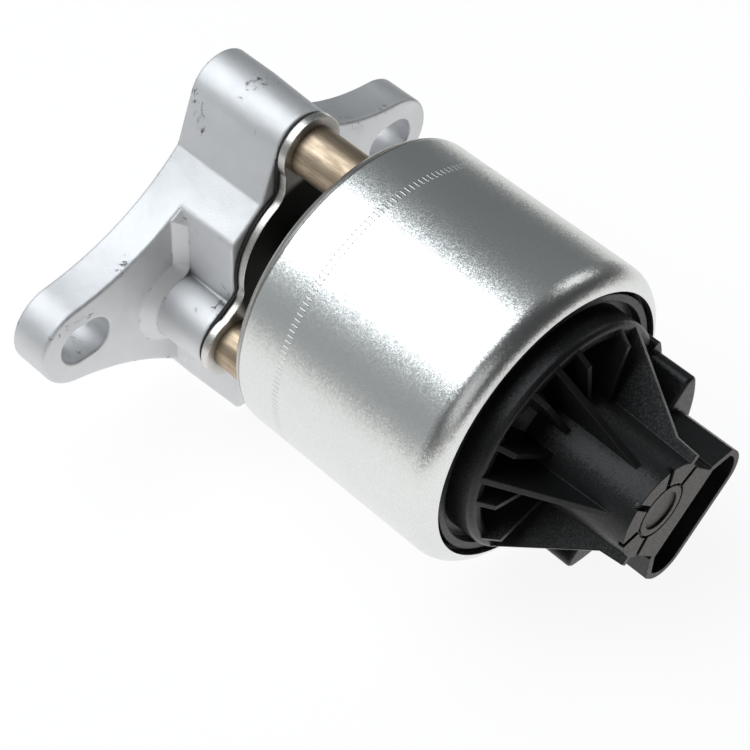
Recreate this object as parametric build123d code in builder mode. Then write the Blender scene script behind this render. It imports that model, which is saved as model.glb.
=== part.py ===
# Exhaust gas recirculation valve: cast two-port base, solenoid housing and position sensor cap
# Origin: valve axis on the mounting face. +Z towards the connector, +X along the bolt line. Millimetres.
from build123d import *
from math import acos, atan2, cos, degrees, radians, sin, sqrt
import os

os.makedirs("parts", exist_ok=True)

# Clearances
slip = 0.05
running_gap = 0.06
cut_over = 1.0

# Base casting
base_height = 21.4
flange_thickness = 8.2
bolt_spacing = 76.6
bolt_line_x = -1.2
bolt_line_y = -8.8
slot_length = 11.0
slot_width = 8.4
slot_edge_fillet = 0.35
ear_radius = 8.8
ear_reach = 0.9
ear_top_angle = 95.0
ear_foot_angle = -104.0
crease_distance = 17.2
crease_spread = 35.6
crease_radius = 1.0
body_half_width = 16.6
body_corner_radius = 2.5
port_box_y = 36.0
port_box_corner_radius = 2.0
casting_draft = 2.5
root_leg = 2.2
root_taper = 45.0
flange_edge_fillet = 0.7
top_edge_fillet = 0.5
lobe_radius = 7.1

# Standoff bolt circle
screw_circle_radius = 22.3
upper_screw_angle = 87.5
screw_spread = 128.5
screw_shank_radius = 2.5
screw_hole_radius = 2.8
screw_head_radius = 4.4
screw_head_height = 4.0
screw_socket_radius = 2.3
screw_socket_depth = 2.4
screw_head_recess = 1.0
standoff_radius = 4.9
standoff_length = 12.3
screw_end_depth = 1.0

# Gas path in the base
inlet_radius = 8.0
inlet_length = 5.0
seat_outer_radius = 9.5
seat_height = 5.0
seat_bore_radius = 6.5
seat_chamfer = 1.0
chamber_radius = 10.0
bearing_pocket_radius = 12.5
bearing_flange_thickness = 2.3
outlet_radius = 8.0
outlet_offset = 24.0
passage_half_width = 7.0
passage_floor = 10.5
passage_roof = 17.8

# Gasket and plate on the base
gasket_thickness = 0.7
plate_thickness = 1.6
plate_lobe_radius = 6.7
plate_disc_radius = 15.5
plate_neck_half_width = 6.2
plate_neck_fillet = 4.0
gasket_margin = 0.3
gasket_neck_half_width = 7.0

# Stem, bearing and pintle
stem_radius = 2.5
stem_end_rise = 1.5
bearing_neck_radius = 5.5
bearing_top = 33.0
shield_outer_radius = 7.5
shield_thickness = 0.6
shield_drop = 2.2
shield_bore_radius = 3.3
pintle_head_radius = 8.2
pintle_neck_radius = 5.8
pintle_nose_radius = 4.4
pintle_nose_height = 1.6
pintle_rim_height = 0.9
pintle_cone_height = 1.6
clip_thickness = 0.8
clip_outer_radius = 3.3
clip_groove_radius = 1.9
clip_mouth_width = 3.2

# Solenoid can
can_radius = 30.0
can_wall = 1.3
can_length = 46.8
can_rear_corner_radius = 2.6
can_lip_curl_radius = 4.5
can_lip_reach = 3.3
can_lip_depth = 4.0
can_rear_hole_radius = 9.0

# Magnet circuit
lower_pole_thickness = 6.0
lower_pole_edge = 1.6
lower_pole_lip = 2.0
lower_pole_stem_hole_radius = 3.2
bobbin_can_gap = 2.2
bobbin_flange_thickness = 1.5
bobbin_wall = 1.7
winding_inset = 1.1
sleeve_outer_radius = 10.0
sleeve_wall = 0.5
armature_length = 18.0
armature_seat_height = 2.2
armature_counterbore_radius = 5.2
armature_counterbore_depth = 5.0
armature_vent_radius = 1.0
armature_vent_circle = 7.2
washer_height = 0.9
washer_metal = 0.4
washer_inset = 0.5
washer_width = 5.0
upper_pole_thickness = 3.6
upper_pole_core_drop = 4.5
upper_pole_rod_hole_radius = 2.2
spring_pocket_depth = 3.7
spring_pocket_radius = 5.1
coil_pin_hole_radius = 1.5

# Springs
return_spring_radius = 4.05
return_spring_wire = 0.9
return_spring_turns = 5.0
plunger_spring_radius = 3.2
plunger_spring_wire = 0.6
plunger_spring_turns = 6.0
spring_wire_sides = 6

# Sensor cap: revolved form
connector_angle = -45.0
cap_flange_gap = 0.3
cap_flange_thickness = 1.9
cap_rim_gap = 0.9
cap_rim_width = 1.4
cap_rim_rise = 3.2
cap_groove_rise = 1.2
cap_groove_width = 1.6
shoulder_rise = 7.6
shoulder_crown_width = 2.6
shoulder_fillet = 1.2
shoulder_width = 6.3
dish_rise = 2.6
tower_foot_radius = 12.4
tower_foot_height = 2.6
tower_lower_radius = 10.4
tower_end_radius = 9.3
tower_rise = 28.7
tower_bore_radius = 7.3
tower_ceiling_rise = 24.2
seal_section_radius = 0.9
seal_gap = 0.35

# Sensor cap: ribs
web_inner_radius = 8.3
web_root_depth = 1.0
fin_thickness = 1.3
fin_angles = (90, 267.5)
fin_start_inset = 0.6
fin_knee_radius = 11.4
fin_knee_rise = 24.0
fin_end_radius = 11.0
rib_thickness = 1.2
rib_angles = (148, 207)
rib_end_rise = 24.6
gusset_thickness = 1.0
gusset_angles = (105, 135, 163, 190, 221, 253)
gusset_start_drop = 0.5
gusset_knee_inset = 2.6
gusset_knee_rise = 10.4
gusset_end_rise = 11.8
crown_notch_angle = 178.5
crown_notch_width = 4.8
crown_notch_inset = 1.1
crown_notch_length = 3.2
crown_notch_depth = 1.6

# Sensor cap: connector block and shroud
block_overhang = 0.3
block_chord = 9.8
block_rise = 16.7
block_wall = 2.2
block_corner_fillet = 1.8
block_edge_fillet = 0.7
block_foot_reach = 0.5
block_foot_rise = 8.4
shroud_near = 8.9
shroud_far = 19.8
shroud_half_width = 13.3
shroud_near_chamfer = 3.8
shroud_far_fillet = 5.5
shroud_wall = 1.2
shroud_near_wall = 1.3
socket_rise = 17.2
bridge_half_width = 8.8
latch_half_width = 2.5
latch_reach = 1.6
latch_low_rise = 20.2
latch_high_rise = 24.7

# Sensor cap: pattern on the tower's end
end_ring_radius = 5.0
end_ring_groove = 0.5
end_dish_radius = 3.8
end_dish_depth = 0.5
end_groove_width = 1.2
end_groove_depth = 1.0
end_groove_step = 52.0

# Position sensor
rod_radius = 1.5
rod_gap = 0.1
carriage_radius = 6.9
carriage_rise = 4.7
carriage_height = 5.0
carriage_flat = 4.2
board_thickness = 0.8
board_face = 5.2
board_half_width = 3.8
board_rise = 1.2
board_height = 21.0
wiper_half_width = 1.2
wiper_thickness = 0.25
wiper_foot = 1.0
pin_count = 5
pin_pitch = 4.0
pin_line = 14.3
pin_thickness = 0.8
pin_width = 1.5
pin_tip_rise = 23.2
sensor_pin_leg_rise = 6.7

# Heights and radii that follow from the sizes above
chamber_floor = inlet_length + seat_height
bearing_pocket_floor = base_height - bearing_flange_thickness
gasket_top = base_height + gasket_thickness
plate_top = gasket_top + plate_thickness
can_floor = plate_top + standoff_length
lower_pole_floor = can_floor + can_wall
lower_pole_top = lower_pole_floor + lower_pole_thickness
cap_flange_top = can_floor + can_length - can_lip_depth
upper_pole_top = cap_flange_top - cap_flange_thickness
upper_pole_floor = upper_pole_top - upper_pole_thickness
bobbin_top = upper_pole_floor - washer_height
bobbin_length = bobbin_top - lower_pole_top
can_inner_radius = can_radius - can_wall
pole_radius = can_inner_radius - slip
can_lip_radius = can_radius - can_lip_reach
bobbin_flange_radius = can_inner_radius - bobbin_can_gap
winding_radius = bobbin_flange_radius - winding_inset
washer_outer_radius = bobbin_flange_radius - washer_inset
washer_inner_radius = washer_outer_radius - washer_width
cap_flange_radius = can_inner_radius - cap_flange_gap
cap_rim_outer_radius = can_lip_radius - cap_rim_gap
cap_rim_inner_radius = cap_rim_outer_radius - cap_rim_width
seal_circle_radius = cap_rim_outer_radius + seal_gap + seal_section_radius
shoulder_outer_radius = cap_rim_inner_radius - cap_groove_width
dish_outer_radius = shoulder_outer_radius - shoulder_width
fin_start_radius = shoulder_outer_radius - fin_start_inset
gusset_knee_radius = shoulder_outer_radius - gusset_knee_inset
crown_notch_outer_radius = shoulder_outer_radius - crown_notch_inset
crown_notch_inner_radius = crown_notch_outer_radius - crown_notch_length
block_radius = shoulder_outer_radius + block_overhang
sleeve_inner_radius = sleeve_outer_radius - sleeve_wall
sleeve_floor = lower_pole_floor + lower_pole_lip
armature_radius = sleeve_inner_radius - running_gap
armature_floor = lower_pole_top + armature_seat_height
armature_top = armature_floor + armature_length
counterbore_floor = armature_top - armature_counterbore_depth
spring_ledge = upper_pole_floor - upper_pole_core_drop + spring_pocket_depth
stem_top = counterbore_floor + stem_end_rise
cap_base = upper_pole_top
cap_rim_top = cap_flange_top + cap_rim_rise
cap_groove_floor = cap_flange_top + cap_groove_rise
shoulder_top = cap_flange_top + shoulder_rise
dish_floor = cap_flange_top + dish_rise
tower_end = cap_flange_top + tower_rise
tower_ceiling = cap_flange_top + tower_ceiling_rise
fin_knee_height = cap_flange_top + fin_knee_rise
rib_end_height = cap_flange_top + rib_end_rise
gusset_knee_height = cap_flange_top + gusset_knee_rise
gusset_end_height = cap_flange_top + gusset_end_rise
block_top = cap_flange_top + block_rise
block_foot_top = cap_flange_top + block_foot_rise
socket_floor = cap_flange_top + socket_rise
latch_low = cap_flange_top + latch_low_rise
latch_high = cap_flange_top + latch_high_rise
carriage_floor = cap_flange_top + carriage_rise
board_floor = cap_flange_top + board_rise
pin_tip = cap_flange_top + pin_tip_rise
sensor_pin_leg_height = cap_flange_top + sensor_pin_leg_rise


def polar(radius, angle):
    """Point at a radius and an angle in degrees."""
    return (radius * cos(radians(angle)), radius * sin(radians(angle)))


def tangent_point(centre, radius, outside, side):
    """Point where a line from outside touches a circle; side is 1 or -1."""
    dx = outside[0] - centre[0]
    dy = outside[1] - centre[1]
    reach = sqrt(dx * dx + dy * dy)
    angle = degrees(atan2(dy, dx)) + side * degrees(acos(radius / reach))
    x, y = polar(radius, angle)
    return (centre[0] + x, centre[1] + y)


def cap_level(height):
    """Plane across the valve axis with X towards the connector."""
    return Plane.XY.rotated((0, 0, connector_angle)).offset(height)


def cap_radial(angle):
    """Plane through the valve axis; angle is counted from the connector."""
    turned = radians(angle + connector_angle)
    x_dir = (cos(turned), sin(turned), 0)
    z_dir = (sin(turned), -cos(turned), 0)
    return Plane(origin=(0, 0, 0), x_dir=x_dir, z_dir=z_dir)


def flipped(point, side):
    """Point of the left half for side -1, and its mirror image for side 1."""
    return (-side * point[0], point[1])


screw_angles = [upper_screw_angle + step * screw_spread for step in (0, 1, -1)]
screw_places = [polar(screw_circle_radius, angle) for angle in screw_angles]

# Base casting
lobe_centre = screw_places[0]
lobe_peak = polar(screw_circle_radius + lobe_radius, upper_screw_angle)
port_box_corner = (-body_half_width, -port_box_y)
port_box_rise = (-body_half_width, -port_box_y + 2 * port_box_corner_radius)
slot_places = [(bolt_line_x + side * bolt_spacing / 2, bolt_line_y) for side in (-1, 1)]


def near_slot(point):
    """True for a point on the edge of a mounting slot."""
    reaches = [sqrt((point.X - x) ** 2 + (point.Y - y) ** 2) for x, y in slot_places]
    return min(reaches) < slot_length / 2 + slip


with BuildPart() as base_casting:
    with BuildSketch() as flange_outline:
        with BuildLine():
            for side in (-1, 1):
                crease = polar(crease_distance, upper_screw_angle - side * crease_spread)
                lobe_touch = tangent_point(lobe_centre, lobe_radius, crease, side)
                ear_x = bolt_line_x + side * (bolt_spacing / 2 + ear_reach)
                ear_points = []
                for angle in (ear_top_angle, 180, ear_foot_angle):
                    x, y = flipped(polar(ear_radius, angle), side)
                    ear_points.append((ear_x + x, bolt_line_y + y))
                ear_top, ear_tip, ear_foot = ear_points
                top_tangent = flipped(polar(1, ear_top_angle - 90), side)
                foot_tangent = flipped(polar(1, ear_foot_angle + 90), side)
                RadiusArc(lobe_peak, lobe_touch, side * lobe_radius)
                Line(lobe_touch, crease)
                TangentArc(ear_top, crease, tangent=top_tangent)
                ThreePointArc(ear_top, ear_tip, ear_foot)
                TangentArc(ear_foot, flipped(port_box_rise, side), tangent=foot_tangent)
                Line(flipped(port_box_rise, side), flipped(port_box_corner, side))
            Line(port_box_corner, flipped(port_box_corner, 1))
        make_face()
        fillet(flange_outline.vertices().sort_by(Axis.Y)[:2], port_box_corner_radius)
        creases = flange_outline.vertices().filter_by(
            lambda corner: abs(sqrt(corner.X**2 + corner.Y**2) - crease_distance) < slip
        )
        fillet(creases, crease_radius)
    extrude(amount=flange_thickness)
    fillet(base_casting.edges().group_by(Axis.Z)[-1], flange_edge_fillet)
    with BuildSketch() as slot_outlines:
        with Locations(*slot_places):
            SlotOverall(slot_length, slot_width)
    extrude(amount=flange_thickness, mode=Mode.SUBTRACT)
    rim_edges = base_casting.edges().group_by(Axis.Z)[-1]
    fillet(rim_edges.filter_by(lambda edge: near_slot(edge.center())), slot_edge_fillet)
    with BuildSketch() as body_outline:
        add(flange_outline.sketch)
        Rectangle(2 * body_half_width, 2 * port_box_y, mode=Mode.INTERSECT)
        shoulders = body_outline.vertices().filter_by(
            lambda corner: abs(corner.X) > body_half_width - slip and corner.Y > 0
        )
        fillet(shoulders, body_corner_radius)
        with Locations(*screw_places[1:]):
            Circle(lobe_radius)
    extrude(amount=flange_thickness)
    with BuildSketch(Plane.XY.offset(flange_thickness)):
        add(body_outline.sketch)
        offset(amount=root_leg)
        add(flange_outline.sketch, mode=Mode.INTERSECT)
    extrude(amount=root_leg, taper=root_taper)
    with BuildSketch(Plane.XY.offset(flange_thickness)):
        add(body_outline.sketch)
    extrude(amount=base_height - flange_thickness, taper=casting_draft)
    fillet(base_casting.edges().group_by(Axis.Z)[-1], top_edge_fillet)

    with BuildSketch():
        Circle(inlet_radius)
    extrude(amount=inlet_length, mode=Mode.SUBTRACT)
    with BuildSketch(Plane.XY.offset(inlet_length)):
        Circle(seat_outer_radius)
    extrude(amount=seat_height, mode=Mode.SUBTRACT)
    with BuildSketch(Plane.XY.offset(chamber_floor)):
        Circle(chamber_radius)
    extrude(amount=base_height - chamber_floor, mode=Mode.SUBTRACT)
    with BuildSketch(Plane.XY.offset(bearing_pocket_floor)):
        Circle(bearing_pocket_radius)
    extrude(amount=bearing_flange_thickness, mode=Mode.SUBTRACT)
    with BuildSketch():
        with Locations((0, -outlet_offset)):
            Circle(outlet_radius)
    extrude(amount=passage_roof, mode=Mode.SUBTRACT)
    with BuildSketch(Plane.XY.offset(passage_floor)):
        with Locations((0, -outlet_offset / 2)):
            Rectangle(2 * passage_half_width, outlet_offset)
    extrude(amount=passage_roof - passage_floor, mode=Mode.SUBTRACT)
    with Locations(*[(x, y, 0) for x, y in screw_places]):
        Hole(screw_hole_radius)
    with BuildSketch():
        with Locations(*screw_places):
            Circle(screw_head_radius + slip)
    extrude(amount=screw_head_recess + screw_head_height + slip, mode=Mode.SUBTRACT)

base_casting.part.label = "base_casting"
export_step(base_casting.part, "parts/base_casting.step")

# Valve seat, pressed into the base from above
with BuildPart() as valve_seat:
    with BuildSketch(Plane.XZ):
        with BuildLine():
            Polyline(
                (seat_bore_radius, inlet_length),
                (seat_outer_radius - slip, inlet_length),
                (seat_outer_radius - slip, chamber_floor),
                (seat_bore_radius + seat_chamfer, chamber_floor),
                (seat_bore_radius, chamber_floor - seat_chamfer),
                close=True,
            )
        make_face()
    revolve()

valve_seat.part.label = "valve_seat"
export_step(valve_seat.part, "parts/valve_seat.step")


def trefoil(height, disc_radius, lobe, neck_half_width, neck_fillet):
    """Disc with three bolt lobes; a neck fillet of 0 leaves its corners sharp."""
    with BuildSketch(Plane.XY.offset(height)) as outline:
        Circle(disc_radius)
        for angle in screw_angles:
            with Locations(polar(screw_circle_radius, angle)):
                Circle(lobe)
            with Locations(Location(polar(screw_circle_radius / 2, angle), angle)):
                Rectangle(screw_circle_radius, 2 * neck_half_width)
        if neck_fillet > 0:
            corners = outline.vertices().filter_by(
                lambda corner: sqrt(corner.X**2 + corner.Y**2) < disc_radius + slip
            )
            fillet(corners, neck_fillet)
    return outline.sketch


# Gasket between base and plate
with BuildPart() as base_gasket:
    gasket_outline = trefoil(
        base_height,
        plate_disc_radius + gasket_margin,
        plate_lobe_radius - gasket_margin,
        gasket_neck_half_width - gasket_margin,
        0,
    )
    extrude(gasket_outline, amount=gasket_thickness)
    with Locations((0, 0, base_height)):
        Hole(bearing_neck_radius + slip)
    with Locations(*[(x, y, base_height) for x, y in screw_places]):
        Hole(screw_hole_radius)

base_gasket.part.label = "base_gasket"
export_step(base_gasket.part, "parts/base_gasket.step")

# Steel plate that clamps the gasket and the stem bearing
with BuildPart() as mounting_plate:
    plate_outline = trefoil(
        gasket_top,
        plate_disc_radius,
        plate_lobe_radius,
        plate_neck_half_width,
        plate_neck_fillet,
    )
    extrude(plate_outline, amount=plate_thickness)
    with Locations((0, 0, gasket_top)):
        Hole(bearing_neck_radius + slip)
    with Locations(*[(x, y, gasket_top) for x, y in screw_places]):
        Hole(screw_hole_radius)

mounting_plate.part.label = "mounting_plate"
export_step(mounting_plate.part, "parts/mounting_plate.step")

# Stem bearing with a flange in the base's pocket
with BuildPart() as stem_bearing:
    with BuildSketch(Plane.XZ):
        with BuildLine():
            Polyline(
                (stem_radius + running_gap, bearing_pocket_floor),
                (bearing_pocket_radius - slip, bearing_pocket_floor),
                (bearing_pocket_radius - slip, base_height),
                (bearing_neck_radius, base_height),
                (bearing_neck_radius, bearing_top),
                (stem_radius + running_gap, bearing_top),
                close=True,
            )
        make_face()
    revolve()

stem_bearing.part.label = "stem_bearing"
export_step(stem_bearing.part, "parts/stem_bearing.step")

# Gas shield under the bearing
with BuildPart() as stem_shield:
    with BuildSketch(Plane.XZ):
        with BuildLine():
            Polyline(
                (shield_bore_radius, bearing_pocket_floor),
                (shield_outer_radius, bearing_pocket_floor),
                (shield_outer_radius, bearing_pocket_floor - shield_drop),
                (shield_outer_radius - shield_thickness, bearing_pocket_floor - shield_drop),
                (shield_outer_radius - shield_thickness, bearing_pocket_floor - shield_thickness),
                (shield_bore_radius, bearing_pocket_floor - shield_thickness),
                close=True,
            )
        make_face()
    revolve()

stem_shield.part.label = "stem_shield"
export_step(stem_shield.part, "parts/stem_shield.step")

# Standoff tubes between plate and can
with BuildPart() as standoffs:
    with BuildSketch(Plane.XY.offset(plate_top)):
        with Locations(*screw_places):
            Circle(standoff_radius)
            Circle(screw_hole_radius, mode=Mode.SUBTRACT)
    extrude(amount=standoff_length)

standoffs.part.label = "standoffs"
export_step(standoffs.part, "parts/standoffs.step")

# Screws from the mounting face into the lower pole piece
screw_head_top = screw_head_recess + screw_head_height
screw_end = lower_pole_top - screw_end_depth
with BuildPart() as housing_screws:
    with BuildSketch(Plane.XY.offset(screw_head_recess)):
        with Locations(*screw_places):
            Circle(screw_head_radius)
            RegularPolygon(screw_socket_radius, 6, mode=Mode.SUBTRACT)
    extrude(amount=screw_socket_depth)
    with BuildSketch(Plane.XY.offset(screw_head_recess + screw_socket_depth)):
        with Locations(*screw_places):
            Circle(screw_head_radius)
    extrude(amount=screw_head_height - screw_socket_depth)
    with BuildSketch(Plane.XY.offset(screw_head_top)):
        with Locations(*screw_places):
            Circle(screw_shank_radius)
    extrude(amount=screw_end - screw_head_top)

housing_screws.part.label = "housing_screws"
export_step(housing_screws.part, "parts/housing_screws.step")

# Deep-drawn can with a rear wall and a rolled front lip
curl_radius = can_radius - can_lip_curl_radius
curl_height = can_floor + can_length - can_lip_curl_radius
curl_inner = can_lip_curl_radius - can_wall
lip_angle = degrees(acos((can_lip_radius - curl_radius) / can_lip_curl_radius))
inner_lip_angle = degrees(acos((can_lip_radius - curl_radius) / curl_inner))
with BuildPart() as solenoid_can:
    with BuildSketch(Plane.XZ) as can_wall_section:
        with BuildLine():
            Line((can_rear_hole_radius, can_floor), (can_radius - can_rear_corner_radius, can_floor))
            CenterArc(
                (can_radius - can_rear_corner_radius, can_floor + can_rear_corner_radius),
                can_rear_corner_radius,
                -90,
                90,
            )
            Line((can_radius, can_floor + can_rear_corner_radius), (can_radius, curl_height))
            outer_curl = CenterArc((curl_radius, curl_height), can_lip_curl_radius, 0, lip_angle)
            inner_curl = CenterArc((curl_radius, curl_height), curl_inner, 0, inner_lip_angle)
            Line(outer_curl @ 1, inner_curl @ 1)
            inner_corner = can_rear_corner_radius - can_wall
            Line((can_inner_radius, curl_height), (can_inner_radius, can_floor + can_rear_corner_radius))
            CenterArc(
                (can_radius - can_rear_corner_radius, can_floor + can_rear_corner_radius),
                inner_corner,
                -90,
                90,
            )
            Line(
                (can_radius - can_rear_corner_radius, lower_pole_floor),
                (can_rear_hole_radius, lower_pole_floor),
            )
            Line((can_rear_hole_radius, lower_pole_floor), (can_rear_hole_radius, can_floor))
        make_face()
    revolve()
    with Locations(*[(x, y, can_floor) for x, y in screw_places]):
        Hole(screw_hole_radius, depth=can_wall + cut_over)

solenoid_can.part.label = "solenoid_can"
export_step(solenoid_can.part, "parts/solenoid_can.step")

# Lower pole piece: steel disc with a stem hole and three tapped holes
with BuildPart() as lower_pole_piece:
    with BuildSketch(Plane.XY.offset(lower_pole_floor)):
        Circle(pole_radius)
    extrude(amount=lower_pole_thickness)
    chamfer(lower_pole_piece.edges().group_by(Axis.Z)[0], lower_pole_edge)
    with BuildSketch(Plane.XY.offset(lower_pole_floor)):
        Circle(lower_pole_stem_hole_radius)
        with Locations(*screw_places):
            Circle(screw_shank_radius + slip)
    extrude(amount=lower_pole_thickness, mode=Mode.SUBTRACT)
    with BuildSketch(Plane.XY.offset(sleeve_floor)):
        Circle(sleeve_outer_radius + slip)
    extrude(amount=lower_pole_thickness, mode=Mode.SUBTRACT)

lower_pole_piece.part.label = "lower_pole_piece"
export_step(lower_pole_piece.part, "parts/lower_pole_piece.step")

# Coil bobbin
bobbin_bore_radius = sleeve_outer_radius + slip
bobbin_core_radius = bobbin_bore_radius + bobbin_wall
with BuildPart() as coil_bobbin:
    with BuildSketch(Plane.XY.offset(lower_pole_top)):
        Circle(bobbin_core_radius)
    extrude(amount=bobbin_length)
    for floor in (lower_pole_top, bobbin_top - bobbin_flange_thickness):
        with BuildSketch(Plane.XY.offset(floor)):
            Circle(bobbin_flange_radius)
        extrude(amount=bobbin_flange_thickness)
    with BuildSketch(Plane.XY.offset(lower_pole_top)):
        Circle(bobbin_bore_radius)
    extrude(amount=bobbin_length, mode=Mode.SUBTRACT)

coil_bobbin.part.label = "coil_bobbin"
export_step(coil_bobbin.part, "parts/coil_bobbin.step")

# Copper winding on the bobbin
winding_floor = lower_pole_top + bobbin_flange_thickness
with BuildPart() as coil_winding:
    with BuildSketch(Plane.XY.offset(winding_floor)):
        Circle(winding_radius)
        Circle(bobbin_core_radius, mode=Mode.SUBTRACT)
    extrude(amount=bobbin_length - 2 * bobbin_flange_thickness)

coil_winding.part.label = "coil_winding"
export_step(coil_winding.part, "parts/coil_winding.step")

# Thin sleeve that guides the armature
with BuildPart() as armature_sleeve:
    with BuildSketch(Plane.XY.offset(sleeve_floor)):
        Circle(sleeve_outer_radius)
        Circle(sleeve_inner_radius, mode=Mode.SUBTRACT)
    extrude(amount=upper_pole_floor - sleeve_floor)

armature_sleeve.part.label = "armature_sleeve"
export_step(armature_sleeve.part, "parts/armature_sleeve.step")

# Conical spring washer that holds the coil down
with BuildPart() as spring_washer:
    with BuildSketch(Plane.XZ):
        with BuildLine():
            Polyline(
                (washer_outer_radius, bobbin_top),
                (washer_outer_radius, bobbin_top + washer_metal),
                (washer_inner_radius, upper_pole_floor),
                (washer_inner_radius, upper_pole_floor - washer_metal),
                close=True,
            )
        make_face()
    revolve()

spring_washer.part.label = "spring_washer"
export_step(spring_washer.part, "parts/spring_washer.step")

# Upper pole piece: disc with a core that reaches into the sleeve
pin_rows = [(pin_line, (index - (pin_count - 1) / 2) * pin_pitch) for index in range(pin_count)]
with BuildPart() as upper_pole_piece:
    with BuildSketch(Plane.XY.offset(upper_pole_floor)):
        Circle(pole_radius)
    extrude(amount=upper_pole_thickness)
    with BuildSketch(Plane.XY.offset(upper_pole_floor - upper_pole_core_drop)):
        Circle(armature_radius)
    extrude(amount=upper_pole_core_drop)
    with BuildSketch(Plane.XY.offset(upper_pole_floor - upper_pole_core_drop)):
        Circle(spring_pocket_radius)
    extrude(amount=spring_pocket_depth, mode=Mode.SUBTRACT)
    with BuildSketch(Plane.XY.offset(upper_pole_floor - upper_pole_core_drop)):
        Circle(upper_pole_rod_hole_radius)
    extrude(amount=upper_pole_core_drop + upper_pole_thickness, mode=Mode.SUBTRACT)
    with BuildSketch(cap_level(upper_pole_floor)):
        with Locations(pin_rows[0], pin_rows[-1]):
            Circle(coil_pin_hole_radius)
    extrude(amount=upper_pole_thickness, mode=Mode.SUBTRACT)

upper_pole_piece.part.label = "upper_pole_piece"
export_step(upper_pole_piece.part, "parts/upper_pole_piece.step")

# Seal between the cap's flange and the can's lip
with BuildPart() as cap_seal:
    with BuildSketch(Plane.XZ):
        with Locations((seal_circle_radius, cap_flange_top + seal_section_radius)):
            Circle(seal_section_radius)
    revolve()

cap_seal.part.label = "cap_seal"
export_step(cap_seal.part, "parts/cap_seal.step")

# Sensor cap
def web_outline(angle, corners):
    """Upright web in a plane through the valve axis; corners are radius and height."""
    with BuildSketch(cap_radial(angle)) as web:
        with BuildLine():
            Polyline(*corners, close=True)
        make_face()
    return web.sketch


def capped_circle(height, radius, chord, corner_fillet):
    """Part of a disc beyond a chord on the connector's side."""
    with BuildSketch(cap_level(height)) as outline:
        Circle(radius)
        with Locations((chord - radius, 0)):
            Rectangle(2 * radius, 2 * radius, mode=Mode.SUBTRACT)
        fillet(outline.vertices(), corner_fillet)
    return outline.sketch


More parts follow.
